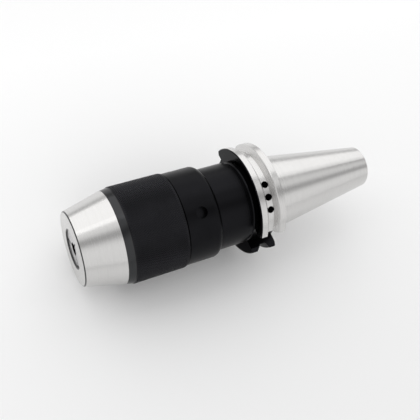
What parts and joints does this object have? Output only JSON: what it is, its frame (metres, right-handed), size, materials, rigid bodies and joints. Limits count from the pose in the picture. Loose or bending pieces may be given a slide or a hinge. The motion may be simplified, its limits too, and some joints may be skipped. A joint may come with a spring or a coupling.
{
  "type": "drill chuck",
  "caption": "Self-tightening keyless drill chuck with three jaws, knurled black sleeve and ground steel nose, made in one piece with a 7/24 taper shank and gripper flange.",
  "frame": {"origin": "centre of the taper's gauge circle (44.45 mm diameter)", "axes": "+X along the axis towards the taper's small end, nose towards -X; drive slots on +Y and -Y"},
  "size_m": [0.1858, 0.0602, 0.0636],
  "materials": {
    "shank_steel": "ground taper and flange rims, black oxide elsewhere",
    "ground_steel": "fine turned satin",
    "black_oxide": "satin black oxide",
    "jaw_steel": "ground",
    "guide_steel": "machined",
    "fastener_steel": "black oxide",
    "bearing_steel": "polished",
    "cage_brass": "machined",
    "spring_steel": "blued",
    "seal_rubber": "matte"
  },
  "bodies": {
    "shank": {"taper_shank": "shank_steel", "bore_plug": "fastener_steel", "preload_washer": "spring_steel", "front_race": "bearing_steel", "thrust_collar": "guide_steel", "collar_lock_screws": "fastener_steel"},
    "sleeve": {"knurled_sleeve": "black_oxide", "nose_hood": "ground_steel", "rear_ring": "black_oxide", "jaw_guide": "guide_steel", "rear_race": "bearing_steel", "dust_seal": "seal_rubber", "hood_seal": "seal_rubber"},
    "screw": {"drive_screw": "guide_steel", "jaw_holder": "guide_steel", "holder_screw": "fastener_steel"},
    "cage": {"ball_cage": "cage_brass", "bearing_balls": "bearing_steel"},
    "jaw_1_body": {"jaw_1": "jaw_steel"},
    "jaw_2_body": {"jaw_2": "jaw_steel"},
    "jaw_3_body": {"jaw_3": "jaw_steel"}
  },
  "joints": [
    {"name": "sleeve_turn", "type": "hinge", "parent": "shank", "child": "sleeve", "pos_m": [0, 0, 0], "axis": [1, 0, 0], "range_deg": [-2046, 132]},
    {"name": "screw_feed", "type": "slide", "parent": "sleeve", "child": "screw", "axis": [-1, 0, 0], "range_m": [-0.02274, 0.00147]},
    {"name": "cage_roll", "type": "hinge", "parent": "shank", "child": "cage", "pos_m": [-0.05095, 0, 0], "axis": [1, 0, 0], "range_deg": [-1023.5, 66.5]},
    {"name": "jaw_1_feed", "type": "slide", "parent": "sleeve", "child": "jaw_1_body", "axis": [-0.9677, -0.2065, -0.1446], "range_m": [-0.0235, 0.00152]},
    {"name": "jaw_2_feed", "type": "slide", "parent": "sleeve", "child": "jaw_2_body", "axis": [-0.9677, 0.2285, -0.1065], "range_m": [-0.0235, 0.00152]},
    {"name": "jaw_3_feed", "type": "slide", "parent": "sleeve", "child": "jaw_3_body", "axis": [-0.9677, -0.022, 0.2511], "range_m": [-0.0235, 0.00152]}
  ],
  "couplings": [
    {"joint": "screw_feed", "follows": "sleeve_turn", "m_per_rad": 0.00063662},
    {"joint": "cage_roll", "follows": "sleeve_turn", "ratio": 0.5},
    {"joint": "jaw_1_feed", "follows": "sleeve_turn", "m_per_rad": 0.00065786},
    {"joint": "jaw_2_feed", "follows": "sleeve_turn", "m_per_rad": 0.00065786},
    {"joint": "jaw_3_feed", "follows": "sleeve_turn", "m_per_rad": 0.00065786}
  ]
}
